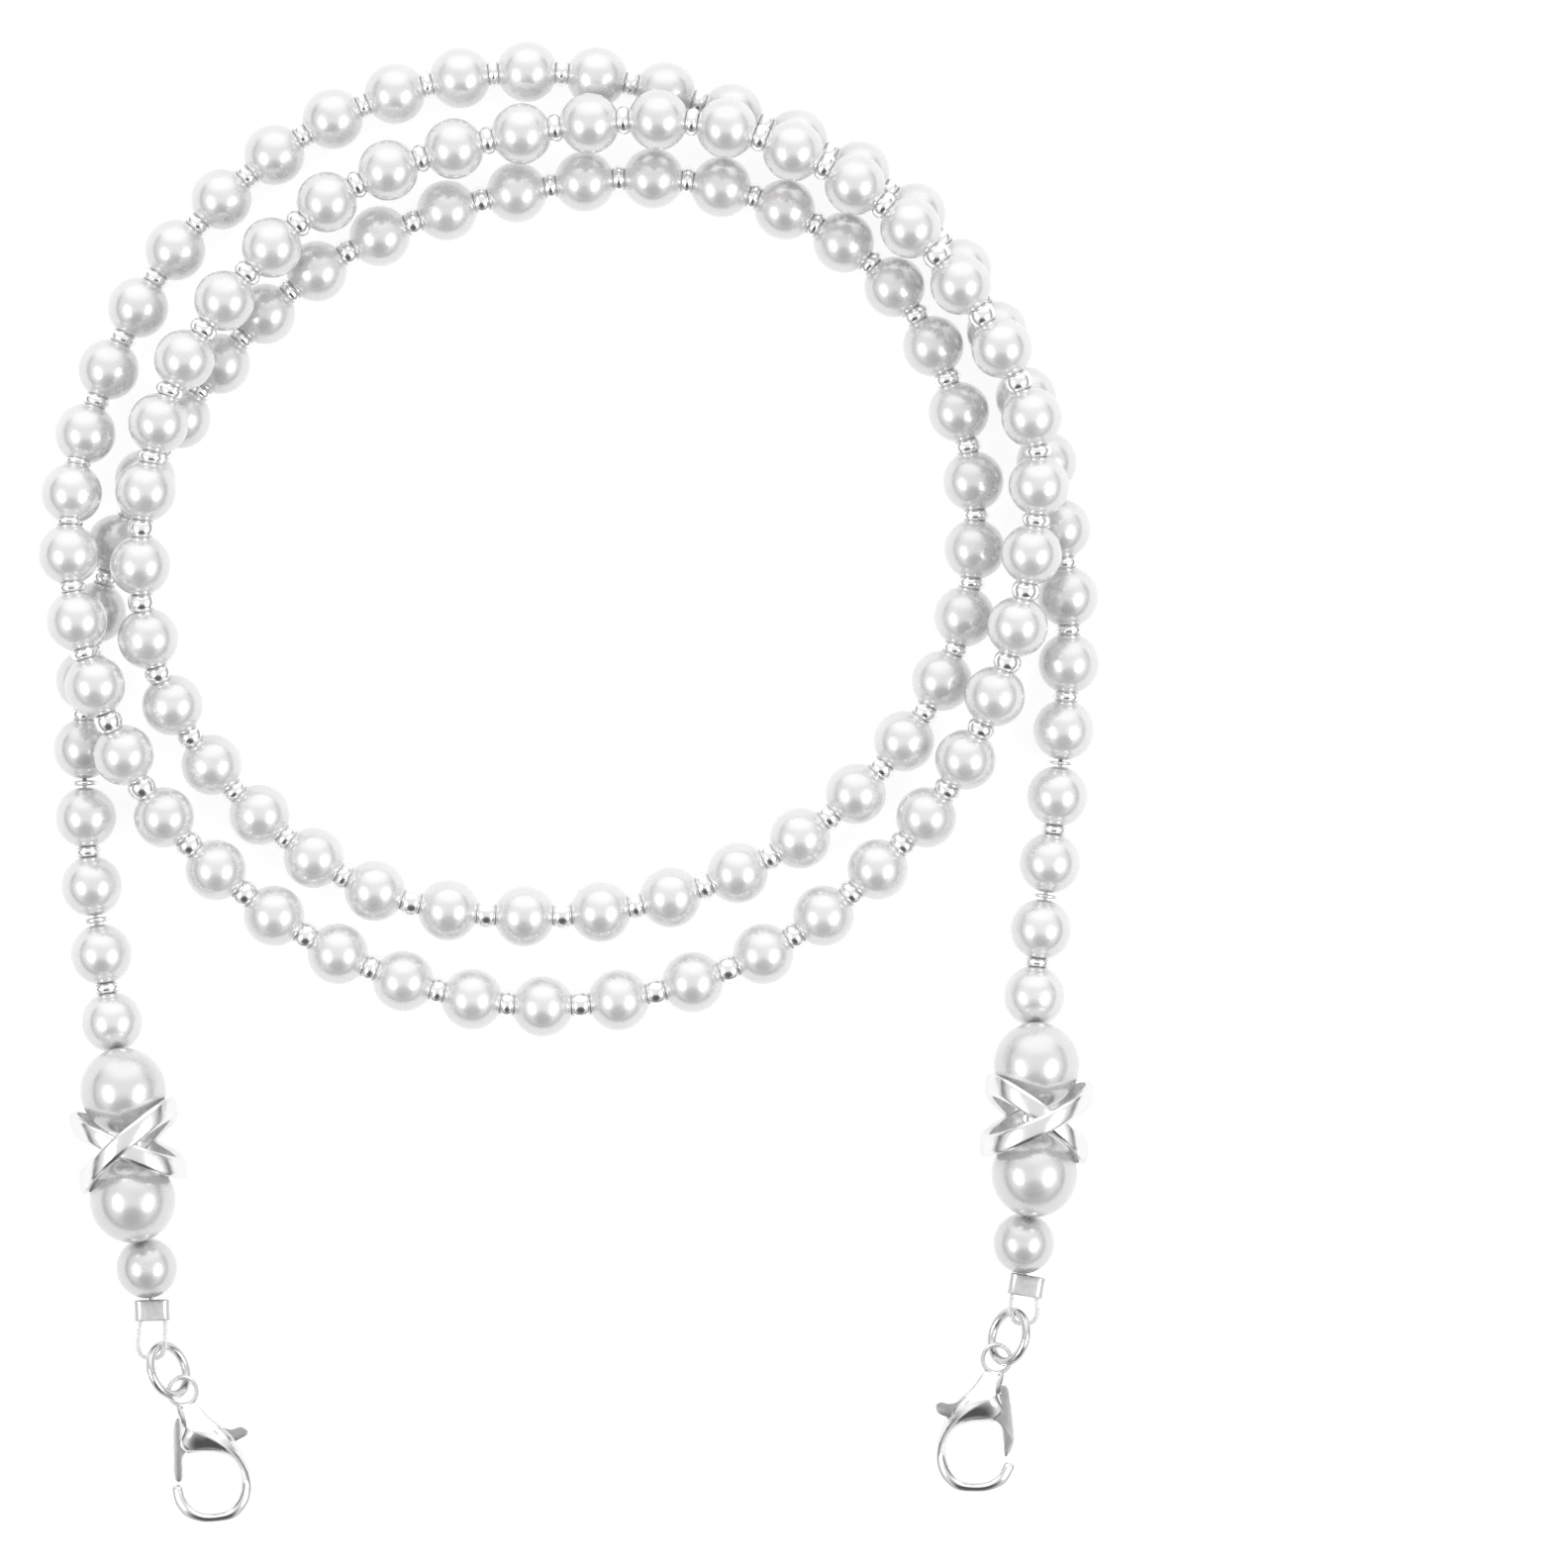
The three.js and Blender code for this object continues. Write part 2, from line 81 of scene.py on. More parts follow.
def add_camera():
    data = bpy.data.cameras.new("camera")
    data.sensor_width = SENSOR
    data.lens = SENSOR * CAMERA_HEIGHT / (VIEW_WIDTH * MM)
    data.clip_end = 10
    camera = bpy.data.objects.new("camera", data)
    camera.location = row_frame((*VIEW_CENTRE, CAMERA_HEIGHT / MM))
    bpy.context.collection.objects.link(camera)
    bpy.context.scene.camera = camera


def add_area(name, azimuth, elevation, distance, size, power):
    """An elliptical softbox that faces the origin."""
    data = bpy.data.lights.new(name, "AREA")
    data.shape = "ELLIPSE"
    data.size, data.size_y = size
    data.energy = power
    light = bpy.data.objects.new(name, data)
    a, e = math.radians(azimuth), math.radians(elevation)
    away = Vector((math.cos(e) * math.cos(a), math.cos(e) * math.sin(a), math.sin(e)))
    light.location = away * distance
    light.rotation_euler = away.to_track_quat("Z", "Y").to_euler()
    light.visible_camera = False
    bpy.context.collection.objects.link(light)


def studio_world():
    """Dim at the horizon, bright overhead, with a card on the far side and a flag on the near."""
    world = bpy.data.worlds.new("studio")
    world.use_nodes = True
    nodes, links = world.node_tree.nodes, world.node_tree.links
    background = nodes["Background"]
    direction = nodes.new("ShaderNodeTexCoord").outputs["Generated"]
    colour = HORIZON
    for value, aim, wide, narrow in WORLD_LOBES.values():
        dot = nodes.new("ShaderNodeVectorMath")
        dot.operation = "DOT_PRODUCT"
        links.new(direction, dot.inputs[0])
        dot.inputs[1].default_value = Vector(aim).normalized()
        spread = nodes.new("ShaderNodeMapRange")
        spread.interpolation_type = "SMOOTHSTEP"
        spread.inputs["From Min"].default_value = math.cos(math.radians(wide))
        spread.inputs["From Max"].default_value = math.cos(math.radians(narrow))
        links.new(dot.outputs["Value"], spread.inputs["Value"])
        mix = nodes.new("ShaderNodeMix")
        links.new(spread.outputs["Result"], mix.inputs["Factor"])
        mix.inputs["B"].default_value = value
        if isinstance(colour, float):
            mix.inputs["A"].default_value = colour
        else:
            links.new(colour, mix.inputs["A"])
        colour = mix.outputs["Result"]
    links.new(colour, background.inputs["Color"])
    return world


def add_stage():
    scene = bpy.context.scene
    scene.view_settings.view_transform = "Standard"
    scene.world = studio_world()
    for name, softbox in SOFTBOXES.items():
        add_area(name, *softbox)
    bpy.ops.mesh.primitive_plane_add(size=FLOOR_SIZE)
    floor = bpy.context.object
    floor.name = "floor"
    paper = bpy.data.materials.new("floor_paper")
    paper.use_nodes = True
    shader = paper.node_tree.nodes["Principled BSDF"]
    shader.inputs["Base Color"].default_value = (FLOOR_GREY,) * 3 + (1,)
    shader.inputs["Roughness"].default_value = 0.9
    shader.inputs["Emission Color"].default_value = (1, 1, 1, 1)
    shader.inputs["Emission Strength"].default_value = FLOOR_GLOW
    floor.data.materials.append(paper)


add_camera()
add_stage()

# ---------------------------------------------------------------- the strand's route

# Each row is a pearl: how many pearls on the next row is, then the pearl's centre
ROUTE = [
    (3, -43.5, -23, 2.9), (3, -46, -3.5, 2.9), (3, -45, 16, 2.9), (3, -37, 34.5, 2.9),
    (3, -24, 48.5, 2.9), (3, -5, 56, 2.9), (3, 14.5, 56.5, 2.9), (3, 31, 47, 2.9),
    (3, 38.5, 28.5, 2.9), (3, 35.5, 9.5, 2.9), (3, 22, -5.5, 2.9), (3, 3, -12.5, 2.9),
    (3, -18.5, -10.5, 2.9), (2, -34, 1.5, 3.8), (2, -40, 13.5, 7.4), (2, -40.2, 27.5, 9),
    (3, -36.5, 40, 8.6), (3, -23, 55, 7.2), (3, -4.5, 61.5, 6.8), (3, 15, 62, 9),
    (3, 32.5, 52.5, 9), (2, 44, 34.5, 9), (2, 44, 21.5, 8.6), (2, 40.5, 8, 7.1),
    (3, 34, -3.5, 4.4), (3, 18.5, -16.5, 2.9), (3, -2.5, -21.5, 2.9), (3, -22, -16.5, 2.9),
    (2, -38.5, -3.5, 5.6), (2, -45, 9, 9), (2, -47.5, 21.5, 8), (3, -46, 33, 4.6),
    (3, -37.5, 50.5, 2.9), (3, -22.5, 63, 2.9), (3, -4, 67.5, 2.9), (3, 15.5, 63.5, 2.9),
    (3, 33, 54, 2.9), (3, 43.5, 36.5, 2.9), (3, 47.5, 17.5, 2.9), (3, 46.5, -1.5, 2.9),
    (0, 44.3, -20.5, 2.9),
]
ROUTE_STEPS = 50
LARGE_Z = 5.3
# Centres from the crimp inwards; turns and the spin in degrees
ENDS = {
    "left": dict(
        side=-1, crimp=(-39.7, -50.45, 2.55), end_pearl=(-40.2, -46.4, 2.9),
        lower=(-41.5, -39.9, LARGE_Z), upper=(-42.4, -29.5, LARGE_Z),
        ring=(-41.9, -34.7, LARGE_Z), ring_turn=9, ring_spin=-12, crimp_turn=2,
        jump=(-38.15, -56.15, 2.24), jump_turn=290, clasp_turn=0,
    ),
    "right": dict(
        side=1, crimp=(43.55, -48.1, 2.55), end_pearl=(43.3, -44.05, 2.9),
        lower=(44.3, -37.45, LARGE_Z), upper=(44.5, -27.05, LARGE_Z),
        ring=(44.5, -32.2, LARGE_Z), ring_turn=-5, ring_spin=17, crimp_turn=-10,
        jump=(41.9, -52.95, 2.24), jump_turn=255, clasp_turn=5,
    ),
}


def centripetal(points, steps):
    """A centripetal Catmull-Rom curve through the points, with so many steps a span."""
    p = np.asarray(points, float)
    p = np.vstack([2 * p[0] - p[1], p, 2 * p[-1] - p[-2]])
    w = (np.arange(steps) / steps)[:, None]
    spans = []
    for p0, p1, p2, p3 in zip(p, p[1:], p[2:], p[3:]):
        d0, d1, d2 = (max(((b - a) ** 2).sum() ** 0.25, 1e-4)
                      for a, b in ((p0, p1), (p1, p2), (p2, p3)))
        t1 = ((p1 - p0) / d0 - (p2 - p0) / (d0 + d1) + (p2 - p1) / d1) * d1
        t2 = ((p2 - p1) / d1 - (p3 - p1) / (d1 + d2) + (p3 - p2) / d2) * d1
        spans.append(p1 + t1 * w + (3 * p2 - 3 * p1 - 2 * t1 - t2) * w**2
                     + (2 * p1 - 2 * p2 + t1 + t2) * w**3)
    return np.vstack([*spans, p[-2:-1]])


def arcs_of(points):
    """The distance along the points from the first to each."""
    return np.concatenate([[0], np.cumsum(np.linalg.norm(np.diff(points, axis=0), axis=1))])


END_KEYS = ("crimp", "end_pearl", "lower", "upper")
controls = (
    [ENDS["left"][k] for k in END_KEYS]
    + [row[1:] for row in ROUTE]
    + [ENDS["right"][k] for k in reversed(END_KEYS)]
)
line = centripetal(controls, ROUTE_STEPS)
line_arc = arcs_of(line)
control_arc = line_arc[::ROUTE_STEPS]

pearl_arcs = []
for k, (count, *_) in enumerate(ROUTE):
    start = control_arc[k + len(END_KEYS)]
    if count:
        following = control_arc[k + len(END_KEYS) + 1]
        pearl_arcs += list(np.linspace(start, following, count, endpoint=False))
    else:
        pearl_arcs.append(start)
pearl_arcs = np.array(pearl_arcs)


def point_at(arc):
    """The strand's centre at a distance along it; no small pearl sinks into the floor."""
    p = np.array([np.interp(arc, line_arc, line[:, k]) for k in range(3)])
    if pearl_arcs[0] < arc < pearl_arcs[-1]:
        p[2] = max(p[2], PEARL_R)
    return p


def tangent_at(arc, reach=0.4):
    d = point_at(arc + reach) - point_at(arc - reach)
    return d / np.linalg.norm(d)


def bead_matrix(arc):
    """Places a bead whose hole is its own Y axis on the strand."""
    turn = Vector((0, 1, 0)).rotation_difference(Vector(tangent_at(arc)))
    return Matrix.LocRotScale(Vector(point_at(arc)), turn, None)


# ---------------------------------------------------------------- materials


def shader_material(name, **sockets):
    """A Principled material; an underscore in a socket's name stands for a space."""
    material = bpy.data.materials.new(name)
    material.use_nodes = True
    shader = material.node_tree.nodes["Principled BSDF"]
    for key, value in sockets.items():
        shader.inputs[key.replace("_", " ")].default_value = value
    return material


def noise(material, scale, detail=2.0):
    """Noise in the object's own space, whose unit is the metre."""
    nodes, links = material.node_tree.nodes, material.node_tree.links
    coordinates = nodes.new("ShaderNodeTexCoord")
    texture = nodes.new("ShaderNodeTexNoise")
    texture.inputs["Scale"].default_value = scale
    texture.inputs["Detail"].default_value = detail
    links.new(coordinates.outputs["Object"], texture.inputs["Vector"])
    return texture.outputs["Fac"]


def ramp(material, source, stops):
    """A colour ramp between two stops of (position, grey or colour)."""
    nodes, links = material.node_tree.nodes, material.node_tree.links
    node = nodes.new("ShaderNodeValToRGB")
    for element, (position, value) in zip(node.color_ramp.elements, stops):
        element.position = position
        colour = value if isinstance(value, tuple) else (value, value, value)
        element.color = (*colour, 1)
    links.new(source, node.inputs["Fac"])
    return node.outputs["Color"]


def drive(material, socket, output):
    shader = material.node_tree.nodes["Principled BSDF"]
    material.node_tree.links.new(output, shader.inputs[socket])


def add_bump(material, source, distance, strength):
    nodes, links = material.node_tree.nodes, material.node_tree.links
    bump = nodes.new("ShaderNodeBump")
    bump.inputs["Distance"].default_value = distance
    bump.inputs["Strength"].default_value = strength
    links.new(source, bump.inputs["Height"])
    drive(material, "Normal", bump.outputs["Normal"])


def pearl_material(name, share=1.0):
    """Pearl coating over white, its colour scaled by share."""
    low, high = (tuple(share * c for c in tone) for tone in PEARL_TONES)
    material = shader_material(
        name, Base_Color=(*high, 1), Roughness=0.3, Coat_Weight=1.0, Metallic=0.45,
        Coat_Roughness=0.15, Coat_IOR=1.6, Specular_IOR_Level=0.4,
    )
    cloud = noise(material, 420, 3.0)
    drive(material, "Base Color", ramp(material, cloud, [(0.3, low), (0.7, high)]))
    drive(material, "Roughness", ramp(material, noise(material, 900), [(0.35, 0.24), (0.7, 0.34)]))
    add_bump(material, noise(material, 2600, 1.0), 0.00001, 0.06)
    return material


def silver_material(name, colour, rough, scale=1500, bump=0.00003):
    """Plated metal with faint uneven polish; scale is the noise's and bump is in metres."""
    material = shader_material(name, Base_Color=(*colour, 1), Roughness=rough, Metallic=1.0)
    wear = noise(material, scale, 3.0)
    drive(material, "Roughness", ramp(material, wear, [(0.35, rough), (0.75, rough * 1.7)]))
    drive(material, "Base Color", ramp(material, noise(material, scale * 0.4), [
        (0.3, tuple(c * 0.95 for c in colour)), (0.7, colour)]))
    add_bump(material, noise(material, scale * 0.6, 2.0), bump, 0.25)
    return material


def thread_material():
    material = shader_material(
        "clear_nylon", Base_Color=(0.72, 0.72, 0.73, 1), Roughness=0.12,
        Transmission_Weight=0.75, IOR=1.5,
    )
    drive(material, "Roughness", ramp(material, noise(material, 3000), [(0.3, 0.08), (0.7, 0.2)]))
    return material


PEARL_TONES = (0.69, 0.685, 0.685), (0.73, 0.72, 0.72)
PEARL = pearl_material("pearl_lustre")
END_PEARL = pearl_material("end_pearl_lustre", 0.92)
SEED = silver_material("seed_silver", (0.95, 0.95, 0.955), 0.13, 2600)
RING = silver_material("ring_silver", (0.86, 0.86, 0.87), 0.16)
# Darker colour for the bands' inner face: painted shade inside the ring, with a rougher polish
RING_INSIDE_PAINTED_SHADE = silver_material("ring_inside_painted_shade", (0.68, 0.68, 0.69), 0.4)
JUMP = silver_material("jump_silver", (0.66, 0.66, 0.67), 0.18)
CLASP = silver_material("clasp_silver", (0.84, 0.84, 0.85), 0.1)
LEVER = silver_material("lever_steel", (0.4, 0.4, 0.41), 0.26)
CRIMP = silver_material("crimp_satin", (0.64, 0.64, 0.65), 0.3, 2400, 0.00008)
THREAD = thread_material()

# ---------------------------------------------------------------- mesh helpers


def finish_mesh(name, verts, faces, material, body, slot, replaces=(), sharp=None):
    """A named, smooth shaded piece from layout points, on its body; the slot argument is not used.

    Edges that bend by more than sharp degrees stay sharp.
    """
    mesh = bpy.data.meshes.new(name)
    mesh.from_pydata([tuple(v) for v in (np.asarray(verts) - MIDDLE) * MM], [], faces)
    mesh.validate()
    mesh.materials.append(material)
    mesh.polygons.foreach_set("use_smooth", [True] * len(mesh.polygons))
    if sharp:
        mesh.set_sharp_from_angle(angle=math.radians(sharp))
    piece = bpy.data.objects.new(name, mesh)
    bpy.context.collection.objects.link(piece)
    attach(piece, body)
    if replaces:
        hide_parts(*replaces)
    return piece


def grid_faces(rings, sides, closed=False):
    """Quads between successive rings of points; closed joins the last ring to the first."""
    faces = []
    for r in range(rings if closed else rings - 1):
        a, b = r * sides, ((r + 1) % rings) * sides
        for i in range(sides):
            j = (i + 1) % sides
            faces.append((a + i, a + j, b + j, b + i))
    return faces


def lathe(profile, sides):
    """A closed profile of (radius, height) turned about Y."""
    turn = 2 * np.pi * np.arange(sides) / sides
    verts = [(r * math.cos(t), y, r * math.sin(t)) for r, y in profile for t in turn]
    return np.array(verts), grid_faces(len(profile), sides, closed=True)


def copies(template, matrices):
    """One mesh of many placed copies of a template."""
    verts, faces = template
    all_verts, all_faces = [], []
    for k, m in enumerate(matrices):
        m = np.array(m)
        all_verts.append(verts @ m[:3, :3].T + m[:3, 3])
        all_faces += [tuple(i + k * len(verts) for i in f) for f in faces]
    return np.vstack(all_verts), all_faces


def capped_grid(rings, sides):
    """Quads between successive rings of points, and a cap on the first and the last."""
    caps = [tuple(reversed(range(sides))), tuple(range((rings - 1) * sides, rings * sides))]
    return grid_faces(rings, sides) + caps


def sweep(path, section):
    """A capped tube of one section along a path."""
    path = np.asarray(path, float)
    ahead = np.gradient(path, axis=0)
    ahead /= np.linalg.norm(ahead, axis=1)[:, None]
    side = np.cross(ahead[0], (0, 0, 1))
    if np.linalg.norm(side) < 0.1:
        side = np.cross(ahead[0], (0, 1, 0))
    rows = []
    for point, forward in zip(path, ahead):
        side = side - forward * (side @ forward)
        side /= np.linalg.norm(side)
        up = np.cross(side, forward)
        rows += [point + side * x + up * y for x, y in section]
    return np.array(rows), capped_grid(len(path), len(section))


def circle(radius, sides):
    turn = 2 * np.pi * np.arange(sides) / sides
    return np.column_stack([radius * np.cos(turn), radius * np.sin(turn)])


# ---------------------------------------------------------------- beads

BORE_R = 0.5
LIP = 0.18
SEED_HOLE = 0.42
SEED_OUTER = 1.35
SEED_SHORTEST = 0.3
MIDDLE_SEED_HALF = 0.85
# How much longer than its gap a seed bead is, where it nests in the lips of the bores
NEST = 0.4
TAIL_NEST = 0.2
JOINT_NEST = -0.25
CREASE = 50


def pearl_template(radius, rings, sides):
    """A bored pearl: a sphere whose hole has a small rounded lip."""
    start = math.asin((BORE_R + LIP) / radius)
    y = radius * math.cos(start)
    outer = [(radius * math.sin(a), -radius * math.cos(a))
             for a in np.linspace(start, math.pi - start, rings)]
    lip = [(BORE_R + LIP * 0.35, y), (BORE_R, y - LIP * 0.6)]
    return lathe([(r, -h) for r, h in reversed(lip)] + outer + lip, sides)


def seed_template(half, sides=20, points=12):
    """A round-edged seed bead of half its length."""
    middle, wide = (SEED_OUTER + SEED_HOLE) / 2, (SEED_OUTER - SEED_HOLE) / 2
    turn = 2 * np.pi * np.arange(points) / points
    return lathe([(middle + wide * math.cos(t), half * math.sin(t)) for t in -turn], sides)


SMALL = pearl_template(PEARL_R, 18, 32)
LARGE = pearl_template(LARGE_R, 22, 40)


def seed_copies(pairs, nest):
    """Seed beads for the gaps between pairs of pearls, each as long as its own gap and nest."""
    verts, faces, base = [], [], 0
    for a, b in pairs:
        gap = np.linalg.norm(point_at(b) - point_at(a)) - 2 * PEARL_R
        half = max(gap + nest, SEED_SHORTEST) / 2
        v, f = copies(seed_template(half), [bead_matrix((a + b) / 2)])
        faces += [tuple(i + base for i in q) for q in f]
        verts.append(v)
        base += len(v)
    return np.vstack(verts), faces


def add_strand():
    """The sections of the strand; returns the pieces that hold its pearls."""
    pieces = []
    outermost = len(pearl_arcs) - TAIL_PEARLS
    for number, first in enumerate(range(TAIL_PEARLS, outermost, SECTION_PEARLS), 1):
        arcs = pearl_arcs[first:first + SECTION_PEARLS]
        pearls = finish_mesh(
            f"pearls_{number:02d}", *copies(SMALL, [bead_matrix(a) for a in arcs]), PEARL,
            "strand", "pearl_beads", [f"strand_section_{number:02d}"], sharp=CREASE)
        last = min(first + SECTION_PEARLS, outermost - 1)
        gaps = [(pearl_arcs[i], pearl_arcs[i + 1]) for i in range(first, last)]
        finish_mesh(f"seed_beads_{number:02d}", *seed_copies(gaps, NEST), SEED, "strand",
                    "seed_beads")
        pieces.append(pearls)
    return pieces


THREAD_POINTS = 420
THREAD_GAP = 0.15


def add_thread(with_pieces):
    """The thread of the strand, which stops just short of the joints of the tails."""
    start = (pearl_arcs[TAIL_PEARLS - 1] + pearl_arcs[TAIL_PEARLS]) / 2 + THREAD_GAP
    end = (pearl_arcs[-TAIL_PEARLS] + pearl_arcs[-TAIL_PEARLS - 1]) / 2 - THREAD_GAP
    path = np.array([point_at(a) for a in np.linspace(start, end, THREAD_POINTS)])
    verts, faces = sweep(path, circle(THREAD_R, 8))
    thread = finish_mesh("strand_thread", verts, faces, THREAD, "strand", "thread")


# ---------------------------------------------------------------- criss-cross ring

RING_MIDDLE = 4.775
BAND_HALF_THICK = 0.4
BAND_HALF_WIDE = 1.05
RING_STEPS = 160
CROSS = math.tan(math.radians(31.5))
WEAVE = 0.13
WEAVE_SPREAD = 24  # degrees of the way round
RING_SIDES = 10
# The inner side below is the one that takes the painted shade of the ring's hollow
RING_INNER_SIDE = 8  # the side of the outline that faces the strand


def band_outline():
    """A band's crowned outer face and flat inner one, as (outwards, along the strand)."""
    t, w = BAND_HALF_THICK, BAND_HALF_WIDE
    crown = [(t - 0.34, -w), (t - 0.16, -w + 0.06), (t - 0.05, -w + 0.22), (t, -w + 0.45)]
    inner = [(-t, w - 0.12), (-t, -w + 0.12)]
    return crown + [(dr, -dy) for dr, dy in reversed(crown)] + inner


def cross_ring(end):
    """Two flat bands that cross at the front and at the back, one lifted over the other."""
    verts, faces = [], []
    turn, spin = math.radians(end["ring_turn"]), math.radians(end["ring_spin"])
    axis = np.array([-math.sin(turn), math.cos(turn), 0])
    across = np.array([math.cos(turn), math.sin(turn), 0])
    up = np.array([0, 0, 1.0])
    for sign in (1, -1):
        base = len(verts)
        for k in range(RING_STEPS):
            a = 2 * np.pi * k / RING_STEPS
            crossing = math.degrees(a + spin)
            top = math.exp(-((crossing - 90) / WEAVE_SPREAD) ** 2)
            bottom = math.exp(-((crossing - 270) / WEAVE_SPREAD) ** 2)
            lift = sign * WEAVE * (top - bottom)
            for dr, dy in band_outline():
                r = RING_MIDDLE + lift + dr
                y = RING_MIDDLE * math.cos(a + spin) * CROSS * sign + dy
                verts.append(np.array(end["ring"]) + across * r * math.cos(a)
                             + up * r * math.sin(a) + axis * y)
        band = grid_faces(RING_STEPS, RING_SIDES, closed=True)
        faces += [tuple(i + base for i in f) for f in band]
    return np.array(verts), faces


# ---------------------------------------------------------------- crimp and thread loop

# Half the width and half the thickness of the outside and of the slot through it
CRIMP_OUTSIDE = (1.7, 0.7)
CRIMP_SLOT = (1.45, 0.4)
CRIMP_LENGTH = 2.0
ARC_POINTS = 10
LEG = 1.15  # how far each leg of the loop is from the crimp's middle
# Way along from the crimp's middle, how much thicker the wall is, and 1 outside or 0 in the slot
CRIMP_ROWS = [
    (-0.88, 0, 1), (-1, -0.12, 1), (-1, -0.05, 0), (-0.7, 0, 0), (0.7, 0, 0),
    (1, -0.05, 0), (1, -0.12, 1), (0.88, 0, 1), (0.55, -0.06, 1), (-0.55, -0.06, 1),
]


def stadium(half, radius):
    """A slot-shaped outline of half its width, with round ends."""
    angle = np.linspace(-math.pi / 2, math.pi / 2, ARC_POINTS)
    right = [(half - radius + radius * math.cos(a), radius * math.sin(a)) for a in angle]
    return np.array(right + [(-x, -y) for x, y in right])


def crimp_tube(end):
    """A flattened tube with rolled lips at both ends."""
    turn = Matrix.Rotation(math.radians(end["crimp_turn"]), 3, "Z")
    verts = []
    for y, grow, outer in CRIMP_ROWS:
        half, thick = CRIMP_OUTSIDE if outer else CRIMP_SLOT
        grow = grow if outer else -grow
        for x, z in stadium(half + grow, thick + grow):
            v = turn @ Vector((x, y, z))
            verts.append(np.array(v) + end["crimp"])
    return np.array(verts), grid_faces(len(CRIMP_ROWS), 2 * ARC_POINTS, closed=True)


def crimp_point(end, outward, y):
    """A point in the crimp's own frame, with outward away from the strap's middle."""
    turn = Matrix.Rotation(math.radians(end["crimp_turn"]), 3, "Z")
    return np.array(turn @ Vector((end["side"] * outward, y, 0))) + end["crimp"]


def thread_loop(end):
    """The thread from the end pearl through the crimp, round the jump ring and back."""
    side = end["side"]
    pearl = control_arc[1 if side < 0 else -2]
    hold = jump_frame(end)["hold"]
    edge = CRIMP_LENGTH / 2

    def bend(outward, y, z):
        return hold + np.array([side * outward, y, z])

    path = [
        point_at(pearl - side * 2.7), point_at(pearl), point_at(pearl + side * 2.8),
        crimp_point(end, -LEG, -edge), bend(-0.8, 0.9, 0.05), bend(-0.78, 0.05, 0.1),
        bend(-0.4, -0.75, -0.05), bend(0.5, -1, -0.15), bend(1.35, -0.75, -0.2),
        bend(1.75, 0.05, -0.15), crimp_point(end, LEG, -edge),
        crimp_point(end, LEG - 0.05, edge * 0.6)]
    return sweep(centripetal(path, 12), circle(THREAD_R, 12))


# ---------------------------------------------------------------- jump ring

JUMP_R = 2.43
JUMP_WIRE = 0.42
JUMP_TILT = math.radians(50)
JUMP_GAP_FROM = math.radians(95)
JUMP_SWEEP = math.radians(359)
JUMP_HOLD = math.radians(167)
JUMP_POINTS = 110
CLASP_THICK = 3.0
EYE_SLACK = 0.15


def jump_frame(end):
    """The wire's centre line by angle, where the thread holds it, and where the eye hangs."""
    turn = math.radians(end["jump_turn"])
    along = np.array([math.cos(turn), math.sin(turn), 0])
    lateral = end["side"] * np.array([-along[1], along[0], 0])
    over = lateral * math.cos(JUMP_TILT) + np.array([0, 0, math.sin(JUMP_TILT)])
    centre = np.array(end["jump"])

    def wire(angle):
        return centre + JUMP_R * (along * math.cos(angle) + over * math.sin(angle))

    drop = (CLASP_THICK / 2 - centre[2]) / (JUMP_R * math.sin(JUMP_TILT))
    eye = wire(math.asin(drop)) - np.array([0, EYE_SLACK, 0])
    return dict(wire=wire, hold=wire(JUMP_HOLD), eye=eye)


def jump_ring(end):
    """Round wire with a cut where its ends meet."""
    wire = jump_frame(end)["wire"]
    angles = np.linspace(JUMP_GAP_FROM, JUMP_GAP_FROM + JUMP_SWEEP, JUMP_POINTS)
    path = [wire(a) for a in angles]
    return sweep(path, circle(JUMP_WIRE, 16))


# ---------------------------------------------------------------- lobster clasp

# From the eye to the hook's tip: inner edge, ridge, outer edge, half thickness, and the share of
# it that is left at the edges
CLASP_STATIONS = [
    ((-0.50, -1.15), (0.15, -1.25), (1.15, -0.85), 0.42, 0.60),
    ((-0.55, -1.85), (0.25, -1.95), (1.85, -1.75), 0.80, 0.52),
    ((-0.35, -2.75), (0.38, -2.75), (2.80, -2.65), 1.15, 0.50),
    ((-0.25, -3.80), (0.50, -3.50), (3.85, -3.45), 1.40, 0.48),
    ((-0.22, -5.20), (1.20, -3.75), (4.68, -4.25), 1.50, 0.46),
    ((0.55, -5.86), (2.30, -4.20), (5.20, -5.05), 1.48, 0.46),
    ((1.90, -5.80), (3.40, -4.85), (5.60, -5.75), 1.42, 0.50),
    ((3.30, -5.85), (4.40, -5.65), (5.98, -6.55), 1.34, 0.56),
    ((4.55, -6.25), (5.20, -6.65), (6.28, -7.40), 1.24, 0.62),
    ((5.35, -7.30), (5.70, -7.72), (6.46, -8.25), 1.15, 0.68),
    ((5.60, -8.70), (5.95, -8.98), (6.55, -9.20), 1.08, 0.72),
    ((5.33, -10.15), (5.66, -10.40), (6.20, -10.65), 1.02, 0.74),
    ((4.50, -11.20), (4.70, -11.56), (5.02, -12.00), 1.00, 0.75),
    ((3.20, -11.60), (3.20, -11.98), (3.25, -12.42), 1.00, 0.75),
    ((1.85, -11.55), (1.78, -11.94), (1.65, -12.40), 1.00, 0.75),
    ((0.85, -11.00), (0.60, -11.32), (0.20, -11.80), 0.96, 0.75),
    ((0.22, -10.10), (-0.15, -10.28), (-0.70, -10.55), 0.92, 0.75),
    ((0.00, -9.30), (-0.42, -9.35), (-0.95, -9.40), 0.85, 0.75),
]
# Half of a section: side of the ridge, share of the way out from it, share of the edge's drop
FACETS = [(0, 1.0, 1.35), (0, 0.80, 0.85), (0, 0.08, 0.05), (1, 0.08, 0.05), (1, 0.80, 0.85),
          (1, 1.0, 1.35)]
